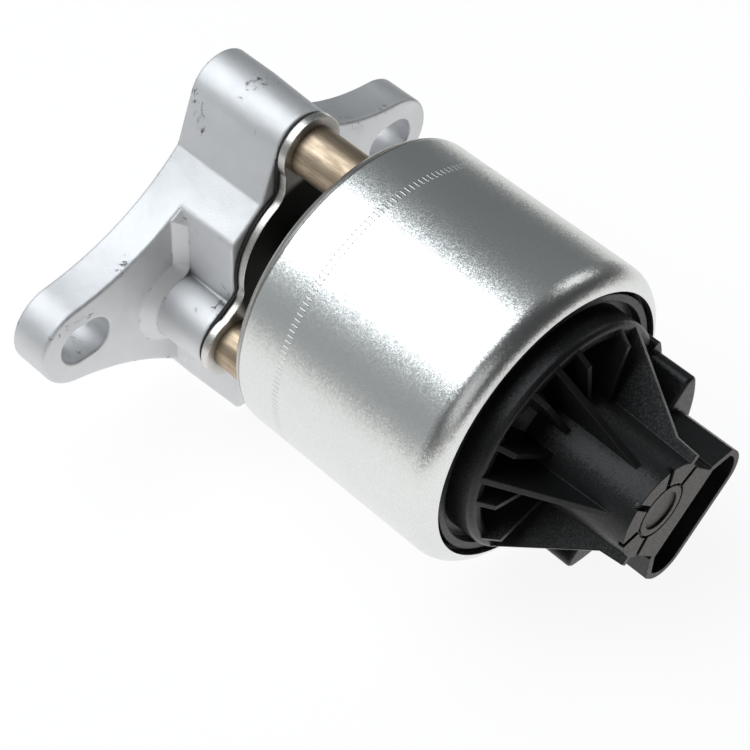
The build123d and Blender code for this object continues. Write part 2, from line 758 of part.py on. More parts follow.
end_groove_angles = [180 + step * end_groove_step for step in (-2, -1, 0, 1, 2)]
socket_near = shroud_near + shroud_near_wall
socket_far = shroud_far - shroud_wall
socket_half_width = shroud_half_width - shroud_wall
web_foot = dish_floor - web_root_depth
with BuildPart() as sensor_cap:
    with BuildSketch(Plane.XZ) as cap_section:
        with BuildLine():
            Polyline(
                (0, cap_base),
                (cap_flange_radius, cap_base),
                (cap_flange_radius, cap_flange_top),
                (cap_rim_outer_radius, cap_flange_top),
                (cap_rim_outer_radius, cap_rim_top),
                (cap_rim_inner_radius, cap_rim_top),
                (cap_rim_inner_radius, cap_groove_floor),
                (shoulder_outer_radius, cap_groove_floor),
                (shoulder_outer_radius, shoulder_top),
                (shoulder_outer_radius - shoulder_crown_width, shoulder_top),
                (dish_outer_radius, dish_floor),
                (tower_foot_radius, dish_floor),
                (tower_lower_radius, dish_floor + tower_foot_height),
                (tower_end_radius, tower_end),
                (0, tower_end),
                close=True,
            )
        make_face()
    revolve()
    shoulder_edges = sensor_cap.edges().filter_by(GeomType.CIRCLE).filter_by_position(
        Axis.Z, shoulder_top - slip, shoulder_top + slip
    )
    fillet(shoulder_edges, shoulder_fillet)
    with BuildSketch(cap_level(shoulder_top - crown_notch_depth)):
        notch_middle = (crown_notch_inner_radius + crown_notch_outer_radius) / 2
        with Locations(Location(polar(notch_middle, crown_notch_angle), crown_notch_angle)):
            Rectangle(crown_notch_outer_radius - crown_notch_inner_radius, crown_notch_width)
    extrude(amount=crown_notch_depth, mode=Mode.SUBTRACT)

    for angle in rib_angles:
        rib_corners = [
            (web_inner_radius, web_foot),
            (fin_start_radius, web_foot),
            (fin_start_radius, shoulder_top),
            (tower_end_radius, rib_end_height),
            (web_inner_radius, rib_end_height),
        ]
        extrude(web_outline(angle, rib_corners), amount=rib_thickness / 2, both=True)
    for angle in fin_angles:
        fin_corners = [
            (web_inner_radius, web_foot),
            (fin_start_radius, web_foot),
            (fin_start_radius, shoulder_top),
            (fin_knee_radius, fin_knee_height),
            (fin_end_radius, tower_end),
            (web_inner_radius, tower_end),
        ]
        extrude(web_outline(angle, fin_corners), amount=fin_thickness / 2, both=True)
    for angle in gusset_angles:
        gusset_corners = [
            (web_inner_radius, web_foot),
            (fin_start_radius, web_foot),
            (fin_start_radius, shoulder_top - gusset_start_drop),
            (gusset_knee_radius, gusset_knee_height),
            (web_inner_radius, gusset_end_height),
        ]
        extrude(web_outline(angle, gusset_corners), amount=gusset_thickness / 2, both=True)

    block_outline = capped_circle(cap_flange_top, block_radius, block_chord, block_corner_fillet)
    with BuildPart() as connector_block:
        extrude(block_outline, amount=block_top - cap_flange_top)
        fillet(connector_block.edges().group_by(Axis.Z)[-1], block_edge_fillet)
        foot_outline = capped_circle(
            cap_flange_top,
            block_radius + block_foot_reach,
            block_chord - block_foot_reach,
            block_edge_fillet,
        )
        extrude(foot_outline, amount=block_foot_top - cap_flange_top)
    add(connector_block.part)

    with BuildSketch(cap_level(block_top)) as shroud_outline:
        with Locations(((shroud_near + shroud_far) / 2, 0)):
            Rectangle(shroud_far - shroud_near, 2 * shroud_half_width)
        chamfer(shroud_outline.vertices().sort_by(Axis.X)[:2], shroud_near_chamfer)
        fillet(shroud_outline.vertices().sort_by(Axis.X)[-2:], shroud_far_fillet)
    extrude(amount=tower_end - block_top)
    with BuildSketch(cap_level(latch_low)) as latch_outline:
        with Locations((shroud_far, 0)):
            Rectangle(2 * latch_reach, 2 * latch_half_width)
    extrude(amount=latch_high - latch_low)
    with BuildSketch(cap_level(block_top - slip)):
        with Locations((shroud_near / 2, 0)):
            Rectangle(shroud_near + cut_over, 2 * bridge_half_width)
    extrude(amount=tower_end - block_top + slip)

    with BuildSketch(cap_level(socket_floor)) as socket_outline:
        with Locations(((socket_near + socket_far) / 2, 0)):
            Rectangle(socket_far - socket_near, 2 * socket_half_width)
        chamfer(socket_outline.vertices().sort_by(Axis.X)[:2], shroud_near_chamfer - shroud_wall / 2)
        fillet(socket_outline.vertices().sort_by(Axis.X)[-2:], shroud_far_fillet - shroud_wall)
    extrude(amount=tower_end - socket_floor, mode=Mode.SUBTRACT)

    with BuildSketch(cap_level(cap_base)) as block_pocket:
        Circle(block_radius - block_wall)
        with Locations((block_chord + block_wall - block_radius, 0)):
            Rectangle(2 * block_radius, 2 * block_radius, mode=Mode.SUBTRACT)
    extrude(amount=block_top - block_wall - cap_base, mode=Mode.SUBTRACT)
    with BuildSketch(Plane.XY.offset(cap_base)):
        Circle(tower_bore_radius)
    extrude(amount=tower_ceiling - cap_base, mode=Mode.SUBTRACT)
    with BuildSketch(cap_level(block_top - block_wall)):
        with Locations(*pin_rows):
            Rectangle(pin_thickness + 2 * slip, pin_width + 2 * slip)
    extrude(amount=socket_floor - block_top + block_wall, mode=Mode.SUBTRACT)
    with BuildSketch(cap_level(sensor_pin_leg_height - slip)):
        with Locations(*[((pin_line + board_face) / 2, y) for x, y in pin_rows[1:-1]]):
            Rectangle(pin_line - board_face, pin_width + 2 * slip)
    extrude(amount=pin_thickness + 2 * slip, mode=Mode.SUBTRACT)

    with BuildSketch(Plane.XY.offset(tower_end - end_dish_depth)):
        Circle(end_ring_radius + end_ring_groove)
        Circle(end_ring_radius, mode=Mode.SUBTRACT)
        Circle(end_dish_radius)
    extrude(amount=end_dish_depth, mode=Mode.SUBTRACT)
    with BuildSketch(cap_level(tower_end - end_groove_depth)):
        groove_reach = fin_knee_radius - end_ring_radius
        for angle in end_groove_angles:
            with Locations(Location(polar(end_ring_radius + groove_reach / 2, angle), angle)):
                Rectangle(groove_reach, end_groove_width)
    extrude(amount=end_groove_depth, mode=Mode.SUBTRACT)

sensor_cap.part.label = "sensor_cap"
export_step(sensor_cap.part, "parts/sensor_cap.step")

# Five connector blades: the middle three turn in to the board, the outer two go down to the coil
with BuildPart() as terminal_pins:
    for index, (x, y) in enumerate(pin_rows):
        outer_pin = index in (0, pin_count - 1)
        foot = bobbin_top + slip if outer_pin else sensor_pin_leg_height
        with BuildSketch(cap_level(foot)):
            with Locations((x, y)):
                Rectangle(pin_thickness, pin_width)
        extrude(amount=pin_tip - foot)
        if not outer_pin:
            leg_start = board_face + board_thickness + slip
            with BuildSketch(cap_level(foot)):
                with Locations(((leg_start + x) / 2, y)):
                    Rectangle(x - leg_start, pin_width)
            extrude(amount=pin_thickness)

terminal_pins.part.label = "terminal_pins"
export_step(terminal_pins.part, "parts/terminal_pins.step")

# Resistor board beside the carriage
with BuildPart() as resistor_board:
    with BuildSketch(cap_level(board_floor)):
        with Locations((board_face + board_thickness / 2, 0)):
            Rectangle(board_thickness, 2 * board_half_width)
    extrude(amount=board_height)

resistor_board.part.label = "resistor_board"
export_step(resistor_board.part, "parts/resistor_board.step")

# Pintle: stem with a conical head that closes on the seat
cone_shift = slip * sqrt(2)
pintle_rim_floor = chamber_floor + pintle_head_radius - seat_bore_radius - seat_chamfer + cone_shift
pintle_rim_top = pintle_rim_floor + pintle_rim_height
pintle_cone_foot = chamber_floor - seat_chamfer + cone_shift - (seat_bore_radius - pintle_neck_radius)
with BuildPart() as pintle:
    with BuildSketch(Plane.XZ):
        with BuildLine():
            Polyline(
                (0, pintle_cone_foot - pintle_nose_height),
                (pintle_nose_radius, pintle_cone_foot - pintle_nose_height),
                (pintle_neck_radius, pintle_cone_foot),
                (pintle_head_radius, pintle_rim_floor),
                (pintle_head_radius, pintle_rim_top),
                (stem_radius, pintle_rim_top + pintle_cone_height),
                (stem_radius, counterbore_floor),
                (clip_groove_radius, counterbore_floor),
                (clip_groove_radius, counterbore_floor + clip_thickness + slip),
                (stem_radius, counterbore_floor + clip_thickness + slip),
                (stem_radius, stem_top),
                (0, stem_top),
                close=True,
            )
        make_face()
    revolve()

pintle.part.label = "pintle"
export_step(pintle.part, "parts/pintle.step")

# Armature: steel plunger on the stem
with BuildPart() as armature:
    with BuildSketch(Plane.XY.offset(armature_floor)):
        Circle(armature_radius)
        Circle(stem_radius + slip, mode=Mode.SUBTRACT)
        with PolarLocations(armature_vent_circle, 2):
            Circle(armature_vent_radius, mode=Mode.SUBTRACT)
    extrude(amount=armature_length)
    with BuildSketch(Plane.XY.offset(counterbore_floor)):
        Circle(armature_counterbore_radius)
    extrude(amount=armature_counterbore_depth, mode=Mode.SUBTRACT)

armature.part.label = "armature"
export_step(armature.part, "parts/armature.step")

# Clip that holds the armature on the stem
with BuildPart() as stem_clip:
    with BuildSketch(Plane.XY.offset(counterbore_floor)):
        Circle(clip_outer_radius)
        Circle(clip_groove_radius + slip, mode=Mode.SUBTRACT)
        with Locations((clip_outer_radius / 2, 0)):
            Rectangle(clip_outer_radius + slip, clip_mouth_width, mode=Mode.SUBTRACT)
    extrude(amount=clip_thickness)

stem_clip.part.label = "stem_clip"
export_step(stem_clip.part, "parts/stem_clip.step")


def make_coil_spring(floor, ceiling, radius, wire, turns):
    """Helical spring between two heights, with the wire tangent to both."""
    pitch = (ceiling - floor - wire) / turns
    path = Helix(pitch=pitch, height=pitch * turns, radius=radius, center=(0, 0, floor + wire / 2))
    with BuildPart() as coil:
        with BuildSketch(Plane(origin=path @ 0, z_dir=path % 0)):
            RegularPolygon(wire / 2, spring_wire_sides)
        sweep(path=path, is_frenet=True)
    return coil.part


# Return spring between armature and upper pole piece
with BuildPart() as return_spring:
    add(
        make_coil_spring(
            counterbore_floor + slip,
            spring_ledge - slip,
            return_spring_radius,
            return_spring_wire,
            return_spring_turns,
        )
    )

return_spring.part.label = "return_spring"
export_step(return_spring.part, "parts/return_spring.step")

# Sensor plunger: rod on the stem's end with a carriage beside the board
carriage_top = carriage_floor + carriage_height
with BuildPart() as sensor_plunger:
    with BuildSketch(Plane.XY.offset(stem_top + rod_gap)):
        Circle(rod_radius)
    extrude(amount=carriage_floor - stem_top - rod_gap)
    with BuildSketch(cap_level(carriage_floor)):
        Circle(carriage_radius)
        with Locations((carriage_flat + carriage_radius / 2, 0)):
            Rectangle(carriage_radius, 2 * carriage_radius, mode=Mode.SUBTRACT)
    extrude(amount=carriage_height)

sensor_plunger.part.label = "sensor_plunger"
export_step(sensor_plunger.part, "parts/sensor_plunger.step")

# Wiper contact: bent strip on the carriage that presses on the board
with BuildPart() as wiper_contact:
    with BuildSketch(Plane.XZ.rotated((0, 0, connector_angle)).offset(-wiper_half_width)):
        with BuildLine():
            Polyline(
                (carriage_flat, carriage_floor + wiper_foot),
                (carriage_flat + wiper_thickness, carriage_floor + wiper_foot),
                (carriage_flat + wiper_thickness, carriage_floor + 2 * wiper_foot),
                (board_face - slip, carriage_top - wiper_foot),
                (board_face - slip, carriage_top),
                (board_face - slip - wiper_thickness, carriage_top),
                (board_face - slip - wiper_thickness, carriage_top - wiper_foot),
                (carriage_flat, carriage_floor + 2 * wiper_foot + wiper_thickness),
                close=True,
            )
        make_face()
    extrude(amount=2 * wiper_half_width)

wiper_contact.part.label = "wiper_contact"
export_step(wiper_contact.part, "parts/wiper_contact.step")

# Plunger spring between the carriage and the tower's ceiling
with BuildPart() as plunger_spring:
    add(
        make_coil_spring(
            carriage_top + slip,
            tower_ceiling - slip,
            plunger_spring_radius,
            plunger_spring_wire,
            plunger_spring_turns,
        )
    )

plunger_spring.part.label = "plunger_spring"
export_step(plunger_spring.part, "parts/plunger_spring.step")
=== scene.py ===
import math

import bmesh
import bpy
from bpy.props import FloatProperty, FloatVectorProperty, IntProperty, PointerProperty
from bpy.types import Operator, Panel, PropertyGroup
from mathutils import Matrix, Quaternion, Vector


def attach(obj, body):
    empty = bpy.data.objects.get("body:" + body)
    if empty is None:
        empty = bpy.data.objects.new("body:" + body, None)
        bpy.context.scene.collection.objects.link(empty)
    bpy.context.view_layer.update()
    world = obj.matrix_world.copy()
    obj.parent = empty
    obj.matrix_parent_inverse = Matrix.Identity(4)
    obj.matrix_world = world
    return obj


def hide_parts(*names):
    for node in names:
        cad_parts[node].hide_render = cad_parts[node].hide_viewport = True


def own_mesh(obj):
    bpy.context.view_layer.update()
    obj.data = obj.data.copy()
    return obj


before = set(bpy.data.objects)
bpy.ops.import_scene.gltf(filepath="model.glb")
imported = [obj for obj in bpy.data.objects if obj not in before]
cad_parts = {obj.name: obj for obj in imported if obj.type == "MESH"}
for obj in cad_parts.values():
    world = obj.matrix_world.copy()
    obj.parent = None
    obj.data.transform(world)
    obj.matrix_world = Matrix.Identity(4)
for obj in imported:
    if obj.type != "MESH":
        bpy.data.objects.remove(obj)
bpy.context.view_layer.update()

bl_info = {
    "name": "EGR Valve",
    "version": (1, 0, 0),
    "blender": (4, 5, 0),
    "location": "3D View > Sidebar > EGR Valve",
    "description": "Finishes and photo stage of an electric exhaust gas recirculation valve",
    "category": "Object",
}

MM = 0.001

# Colours of the grain, smears, tones, painted shade and painted sheen that the finishes blend in
CASTING_GRAIN = (0.8, 0.81, 0.83)
# Painted shade in the casting's crevices
CASTING_CREVICE_SHADE = (0.13, 0.13, 0.135)
PLATING_GRAIN = (0.45, 0.46, 0.47)
TICK_TONE = (0.55, 0.55, 0.54)
RIM_BROWN_TONE = (0.5, 0.48, 0.445)
# Painted shade along the groove round the rear rim
RIM_GROOVE_SHADE = (0.25, 0.25, 0.25)
PLATE_SMEARS = (0.59, 0.57, 0.54)
BRONZE_CLOUDS = (0.62, 0.51, 0.385)
BRONZE_STREAKS = (0.26, 0.19, 0.12)
# Painted shade at the standoffs' ends
BRONZE_FOOT_SHADE = (0.05, 0.035, 0.025)
GASKET_FIBRES = (0.05, 0.048, 0.045)
PLASTIC_FLOW = (0.0115, 0.012, 0.0127)
# Painted sheen on the cap's end faces
END_FACE_SHEEN_GRAIN = (0.06, 0.058, 0.055)
SEAL_RUBBER = (0.02, 0.02, 0.02)
SEAL_RUBBER_LOW = (0.014, 0.014, 0.014)
SEAL_RUBBER_HIGH = (0.03, 0.03, 0.03)
WIRE_GAPS = (0.28, 0.09, 0.03)
WIRE_CLOUDS = (0.45, 0.2, 0.1)
CERAMIC_GRAIN = (0.62, 0.6, 0.55)

# Colours of the inner pieces that have no setting of their own
SLEEVE_STEEL = (0.6, 0.6, 0.6)
BOBBIN_PLASTIC = (0.06, 0.06, 0.065)
SEAT_STEEL = (0.5, 0.48, 0.46)
SHIELD_STEEL = (0.56, 0.56, 0.56)
STEM_STEEL = (0.42, 0.41, 0.4)

WHITE = (1.0, 1.0, 1.0)
FLOOR_LIGHT = (1.0, 0.99, 0.94)
OVERHEAD_LIGHT = (0.94, 0.975, 1.0)

# Where the finishes change on the pieces, in metres
FADE_WIDTH = 0.0001
# Radii within which the plate's top carries painted shade round the bearing
PAINTED_SHADE_RADIUS = 0.0158
PAINTED_SHADE_END_RADIUS = 0.0185
CAP_END_HEIGHT = 0.1065
CAP_END_FULL_HEIGHT = 0.1069
COIL_WIRE_PITCH = 0.0006


def colour_property(name, description, default):
    return FloatVectorProperty(
        name=name, description=description, default=default, subtype="COLOR", size=3, min=0.0, max=1.0
    )


def length_property(name, description, default):
    return FloatProperty(
        name=name, description=description, default=default, min=0.0, unit="LENGTH", precision=5
    )


def factor_property(name, description, default):
    return FloatProperty(
        name=name, description=description, default=default, min=0.0, max=1.0, subtype="FACTOR"
    )


class EgrCastingFinish(PropertyGroup):
    colour: colour_property("Colour", "Blasted aluminium of the base", (0.785, 0.795, 0.81))
    shade: colour_property("Shade", "Darker patches of the casting skin", (0.68, 0.69, 0.705))
    pit_colour: colour_property("Pits", "Oxide in the pits and chipped edges", (0.10, 0.10, 0.105))
    roughness: factor_property("Roughness", "Roughness of the blasted skin", 0.53)
    grain: length_property("Grain", "Size of the blasted grain", 0.00035)
    pit_size: length_property("Pit size", "Distance between the small casting pits", 0.0011)
    edge_radius: length_property("Edge radius", "Rounding of the worn edges", 0.0006)


class EgrSteelFinish(PropertyGroup):
    plate_colour: colour_property("Plate", "Bright steel of the stamped plate", (0.73, 0.72, 0.69))
    # Colour of the painted shade on the plate round the bearing
    plate_shade_colour: colour_property("Soot", "Blackened steel round the bearing", (0.025, 0.024, 0.023))
    standoff_colour: colour_property("Standoffs", "Bronze-toned plating", (0.47, 0.375, 0.27))
    gasket_colour: colour_property("Gasket", "Black gasket sheet", (0.018, 0.018, 0.018))
    # Kept this dark as painted shade for the shadowed gap between plate and can
    bearing_shade_colour: colour_property("Bearing", "Oil-dark sintered bronze", (0.035, 0.03, 0.024))
    screw_colour: colour_property("Screws", "Dark plated steel", (0.22, 0.22, 0.23))


class EgrCanFinish(PropertyGroup):
    colour: colour_property("Colour", "Satin zinc plating of the can", (0.84, 0.855, 0.84))
    shade: colour_property("Shade", "Duller patches of the plating", (0.78, 0.80, 0.79))
    roughness: factor_property("Roughness", "Roughness of the plating", 0.3)
    sparkle: length_property("Sparkle", "Size of the plating's sparkling grains", 0.00018)
    grain_tilt: FloatProperty(
        name="Grain tilt", description="How far the grains lean", default=0.11, min=0.0
    )
    rim_line_height: length_property("Rim line height", "Height of the line round the rear rim", 0.0381)
    tick_count: IntProperty(name="Ticks", description="Ticks round the rear of the can", default=177, min=1)
    tick_height: length_property("Tick height", "Height of the tick ring above the mounting face", 0.0473)
    tick_length: length_property("Tick length", "Length of one tick along the can", 0.0013)


class EgrCapFinish(PropertyGroup):
    colour: colour_property("Colour", "Black moulded plastic", (0.0072, 0.0076, 0.0081))
    # Paler painted sheen of the end faces
    end_face_sheen_colour: colour_property("End faces", "Textured faces across the axis", (0.14, 0.132, 0.123))
    roughness: factor_property("Roughness", "Roughness of the moulded skin", 0.35)
    grain: length_property("Grain", "Size of the moulded grain", 0.00023)


class EgrInnerFinish(PropertyGroup):
    steel_colour: colour_property("Turned steel", "Poles, armature and stem", (0.47, 0.46, 0.45))
    copper_colour: colour_property("Copper", "Enamelled wire of the coil", (0.62, 0.24, 0.10))
    spring_colour: colour_property("Springs", "Tempered spring steel", (0.33, 0.33, 0.35))
    contact_colour: colour_property("Contacts", "Tinned brass of the blades", (0.72, 0.66, 0.5))
    board_colour: colour_property("Board", "Ceramic of the resistor board", (0.80, 0.79, 0.74))
    plunger_colour: colour_property("Plunger", "Natural plastic of the sensor plunger", (0.72, 0.69, 0.58))


class EgrStageSettings(PropertyGroup):
    floor_colour: colour_property("Floor", "Plain pale floor", (0.9, 0.9, 0.9))
    floor_size: length_property("Floor size", "Side of the square floor", 1.6)
    key_power: FloatProperty(
        name="Overhead lamp", description="Power of the soft overhead lamp", default=3.7, unit="POWER"
    )
    fill_power: FloatProperty(
        name="Fill lamp", description="Power of the soft lamp beside the camera", default=0.5, unit="POWER"
    )
    side_power: FloatProperty(
        name="Side lamp", description="Power of the small lamp on the right", default=0.35, unit="POWER"
    )
    wall_distance: length_property("Wall distance", "Distance of the studio walls", 1.3)
    left_wall: colour_property("Left wall", "Wall on the left of the photograph", (0.345, 0.36, 0.37))
    right_wall: colour_property("Right wall", "Wall on the right of the photograph", (0.155, 0.165, 0.17))
    camera_wall: colour_property("Camera wall", "Dark side behind the camera", (0.05, 0.05, 0.052))
    lens: FloatProperty(name="Lens", description="Focal length in millimetres", default=106.8, min=1.0)


# Node helpers


def shader_node(tree, kind, **settings):
    node = tree.nodes.new(kind)
    for name, value in settings.items():
        setattr(node, name, value)
    return node


def wire(tree, source, target):
    tree.links.new(source, target)


def object_place(tree):
    return shader_node(tree, "ShaderNodeTexCoord").outputs["Object"]


def axis_parts(tree, vector):
    node = shader_node(tree, "ShaderNodeSeparateXYZ")
    wire(tree, vector, node.inputs["Vector"])
    return node.outputs


def drawn_out(tree, place, scale):
    """Coordinates scaled on each axis, so that a pattern is drawn out where the scale is small."""
    mapping = shader_node(tree, "ShaderNodeMapping")
    mapping.inputs["Scale"].default_value = scale
    wire(tree, place, mapping.inputs["Vector"])
    return mapping.outputs["Vector"]


def facing_up(tree):
    """How far the surface faces along the valve axis, towards the connector."""
    geometry = shader_node(tree, "ShaderNodeNewGeometry")
    return axis_parts(tree, geometry.outputs["True Normal"])["Z"]


def noise(tree, place, size, detail=3.0, roughness=0.6, distortion=0.0):
    """Noise from 0 to 1 with features of about the given size in metres."""
    node = shader_node(tree, "ShaderNodeTexNoise")
    node.inputs["Scale"].default_value = 1.0 / size
    node.inputs["Detail"].default_value = detail
    node.inputs["Roughness"].default_value = roughness
    node.inputs["Distortion"].default_value = distortion
    wire(tree, place, node.inputs["Vector"])
    return node.outputs["Fac"]


def cell_colours(tree, place, size):
    """A random colour on each small cell."""
    node = shader_node(tree, "ShaderNodeTexVoronoi")
    node.inputs["Scale"].default_value = 1.0 / size
    wire(tree, place, node.inputs["Vector"])
    return node.outputs["Color"]


def spread(tree, value, low, high, new_low=0.0, new_high=1.0, smooth=False):
    """Maps low and high to the new ones and clamps what lies outside."""
    node = shader_node(tree, "ShaderNodeMapRange", clamp=True)
    node.interpolation_type = "SMOOTHSTEP" if smooth else "LINEAR"
    node.inputs["From Min"].default_value = low
    node.inputs["From Max"].default_value = high
    node.inputs["To Min"].default_value = new_low
    node.inputs["To Max"].default_value = new_high
    wire(tree, value, node.inputs["Value"])
    return node.outputs["Result"]


def soft_patches(tree, place, size, detail=3.0, roughness=0.6, low=0.35, most=1.0):
    """Cloudy patches that rise from 0 to their most."""
    return spread(tree, noise(tree, place, size, detail, roughness), low, high=0.7, new_high=most)


def calculate(tree, operation, first, second=None):
    node = shader_node(tree, "ShaderNodeMath", operation=operation)
    for value, socket in ((first, node.inputs[0]), (second, node.inputs[1])):
        if value is None:
            continue
        if isinstance(value, (int, float)):
            socket.default_value = value
        else:
            wire(tree, value, socket)
    return node.outputs["Value"]


def blend_colours(tree, factor, first, second):
    node = shader_node(tree, "ShaderNodeMix", data_type="RGBA")
    wire(tree, factor, node.inputs["Factor"])
    for value, socket in ((first, node.inputs["A"]), (second, node.inputs["B"])):
        if isinstance(value, bpy.types.NodeSocket):
            wire(tree, value, socket)
        else:
            socket.default_value = (*value, 1.0)
    return node.outputs["Result"]


def relief(tree, heights, normal=None):
    """Bumps one on the other; each is a height, its depth in metres and its strength."""
    for height, depth, strength in heights:
        bump = shader_node(tree, "ShaderNodeBump")
        bump.inputs["Distance"].default_value = depth
        bump.inputs["Strength"].default_value = strength
        wire(tree, height, bump.inputs["Height"])
        if normal is not None:
            wire(tree, normal, bump.inputs["Normal"])
        normal = bump.outputs["Normal"]
    return normal


def rounded_normal(tree, radius):
    """Surface normal with its edges rounded off."""
    node = shader_node(tree, "ShaderNodeBevel", samples=6)
    node.inputs["Radius"].default_value = radius
    return node.outputs["Normal"]


def tilted_grains(tree, place, size, tilt, normal):
    """Normal that leans a little another way on each grain."""
    mid_grey = (0.5, 0.5, 0.5)
    centred = shader_node(tree, "ShaderNodeVectorMath", operation="SUBTRACT")
    centred.inputs[1].default_value = mid_grey
    wire(tree, cell_colours(tree, place, size), centred.inputs[0])
    lean = shader_node(tree, "ShaderNodeVectorMath", operation="SCALE")
    lean.inputs["Scale"].default_value = tilt
    wire(tree, centred.outputs["Vector"], lean.inputs[0])
    added = shader_node(tree, "ShaderNodeVectorMath", operation="ADD")
    wire(tree, normal, added.inputs[0])
    wire(tree, lean.outputs["Vector"], added.inputs[1])
    unit = shader_node(tree, "ShaderNodeVectorMath", operation="NORMALIZE")
    wire(tree, added.outputs["Vector"], unit.inputs[0])
    return unit.outputs["Vector"]


def edge_mask(tree, radius):
    """1 where the rounded normal leaves the true one, along edges, and 0 on open faces."""
    true_normal = shader_node(tree, "ShaderNodeNewGeometry").outputs["Normal"]
    agreement = shader_node(tree, "ShaderNodeVectorMath", operation="DOT_PRODUCT")
    wire(tree, rounded_normal(tree, radius), agreement.inputs[0])
    wire(tree, true_normal, agreement.inputs[1])
    return spread(tree, agreement.outputs["Value"], low=0.9, high=0.99, new_low=1.0, new_high=0.0)


def painted_crevice_shade(tree, reach, most, deep=0.35, open_air=0.85):
    """Painted shade: rises to its most where other surfaces stand close, and is 0 in the open."""
    node = shader_node(tree, "ShaderNodeAmbientOcclusion", samples=8)
    node.inputs["Distance"].default_value = reach
    return spread(tree, node.outputs["AO"], low=deep, high=open_air, new_low=most, new_high=0.0)


def empty_material(name):
    material = bpy.data.materials.new(name)
    material.use_nodes = True
    material.node_tree.nodes.clear()
    return material, material.node_tree


def new_finish(name, colour, metallic, roughness, specular=0.5):
    """A material with one plain surface, for a finish to build on."""
    material, tree = empty_material(name)
    material.diffuse_color = (*colour, 1.0)
    surface = shader_node(tree, "ShaderNodeBsdfPrincipled")
    surface.inputs["Base Color"].default_value = (*colour, 1.0)
    surface.inputs["Metallic"].default_value = metallic
    surface.inputs["Roughness"].default_value = roughness
    surface.inputs["Specular IOR Level"].default_value = specular
    output = shader_node(tree, "ShaderNodeOutputMaterial")
    wire(tree, surface.outputs["BSDF"], output.inputs["Surface"])
    return material, tree, surface


def give(material, *node_names):
    """Put the material on the named pieces, in place of the one they have."""
    for name in node_names:
        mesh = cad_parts[name].data
        mesh.materials.clear()
        mesh.materials.append(material)


def bump_on(tree, surface, heights, radius=None):
    """Relief on the finish, over rounded edges where a radius is given."""
    rounded = None if radius is None else rounded_normal(tree, radius)
    wire(tree, relief(tree, heights, rounded), surface.inputs["Normal"])


# Finishes


def blasted_casting(settings):
    """Satin cast skin with clusters of small pits and chips along its edges."""
    material, tree, surface = new_finish(
        "blasted_casting", settings.colour, metallic=0.8, roughness=settings.roughness
    )
    place = object_place(tree)
    patches = soft_patches(tree, place, size=0.016, roughness=0.55)
    grain = noise(tree, place, settings.grain, detail=2.0)
    swells = noise(tree, place, size=0.007, detail=2.0, roughness=0.5)
    skin = blend_colours(tree, patches, settings.colour, settings.shade)
    skin = blend_colours(tree, spread(tree, grain, 0.35, 0.7, new_high=0.25), skin, CASTING_GRAIN)

    gathered = noise(tree, place, size=0.008, detail=2.0, roughness=0.5, distortion=0.8)
    clusters = spread(tree, gathered, low=0.61, high=0.69, smooth=True)
    ragged = noise(tree, place, settings.pit_size, detail=4.0, roughness=0.75, distortion=0.5)
    specks = calculate(tree, "MULTIPLY", clusters, spread(tree, ragged, low=0.55, high=0.62))
    flakes = noise(tree, place, size=0.0022, roughness=0.7, distortion=0.6)
    edges = edge_mask(tree, settings.edge_radius)
    chips = calculate(tree, "MULTIPLY", edges, spread(tree, flakes, low=0.59, high=0.65))
    wear_and_sheen = calculate(tree, "MAXIMUM", specks, chips)
    oxide_cover = 0.85
    skin = blend_colours(tree, calculate(tree, "MULTIPLY", wear_and_sheen, oxide_cover), skin, settings.pit_colour)
    # Painted shade: the casting darkens in its crevices, where other surfaces stand close.
    crevice_shade = painted_crevice_shade(tree, reach=0.006, most=0.9, deep=0.3, open_air=0.64)
    wire(tree, blend_colours(tree, crevice_shade, skin, CASTING_CREVICE_SHADE), surface.inputs["Base Color"])

    smoothest, roughest = settings.roughness - 0.06, settings.roughness + 0.08
    wire(tree, spread(tree, grain, 0.2, 0.8, smoothest, roughest), surface.inputs["Roughness"])
    sunk = calculate(tree, "SUBTRACT", 1.0, wear_and_sheen)
    heights = [(swells, 0.0006, 0.35), (grain, 0.00008, 0.3), (sunk, 0.00015, 0.5)]
    bump_on(tree, surface, heights, settings.edge_radius)
    return material


def tick_ring(tree, axes, settings):
    """1 on each tick of the ring round the can, and 0 between and beside them."""
    angle = calculate(tree, "ARCTAN2", axes["Y"], axes["X"])
    wave = calculate(tree, "COSINE", calculate(tree, "MULTIPLY", angle, settings.tick_count))
    line = spread(tree, wave, low=0.35, high=0.8, smooth=True)
    off_ring = calculate(tree, "ABSOLUTE", calculate(tree, "SUBTRACT", axes["Z"], settings.tick_height))
    half = settings.tick_length / 2
    band = spread(tree, off_ring, half - FADE_WIDTH, half + FADE_WIDTH, new_low=1.0, new_high=0.0)
    return calculate(tree, "MULTIPLY", line, band)


